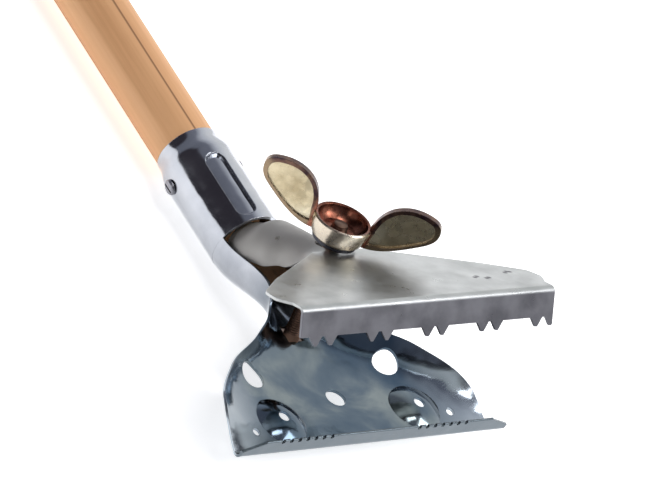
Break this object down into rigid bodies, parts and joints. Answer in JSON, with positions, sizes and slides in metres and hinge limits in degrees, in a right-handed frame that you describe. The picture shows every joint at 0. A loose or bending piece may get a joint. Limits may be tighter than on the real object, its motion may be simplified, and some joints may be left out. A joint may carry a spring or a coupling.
{
  "type": "mop clamp",
  "caption": "Wooden pole with a pressed-steel jaw clamp: a toothed upper jaw is pulled down onto a lower jaw by a bolt and wing nut to grip a mop's band.",
  "frame": {"origin": "on the pole's axis at the socket's mouth", "axes": "+Y up along the pole, away from the jaws; +Z towards the wing nut's side; +X across the jaws"},
  "size_m": [0.1703, 1.334, 0.1009],
  "materials": {
    "wood": "satin varnish",
    "bright_zinc": "bright zinc plate",
    "screw_steel": "plated",
    "bolt_steel": "dull yellow plate",
    "satin_zinc": "satin zinc plate",
    "washer_steel": "dark steel",
    "brass": "cast, half bright"
  },
  "bodies": {
    "frame": {"pole": "wood", "socket_jaw": "bright_zinc", "pole_screws": "screw_steel", "clamp_bolt": "bolt_steel"},
    "jaw": {"upper_jaw": "satin_zinc"},
    "seat": {"washer": "washer_steel"},
    "nut": {"wing_nut": "brass"}
  },
  "joints": [
    {"name": "jaw_pivot", "type": "hinge", "parent": "frame", "child": "jaw", "pos_m": [0, -0.059, 0.0144], "axis": [1, 0, 0], "range_deg": [0, 27]},
    {"name": "nut_travel", "type": "slide", "parent": "frame", "child": "seat", "axis": [0, 0.1994, 0.9799], "range_m": [-0.0249, 0]},
    {"name": "wing_nut_turn", "type": "hinge", "parent": "seat", "child": "nut", "pos_m": [0, -0.1125, -0.0073], "axis": [0, 0.1994, 0.9799], "range_deg": [-7171.2, 0]}
  ],
  "couplings": [
    {"joint": "nut_travel", "follows": "wing_nut_turn", "m_per_rad": 0.00019894},
    {"joint": "jaw_pivot", "follows": "wing_nut_turn", "ratio": -0.0037651}
  ]
}
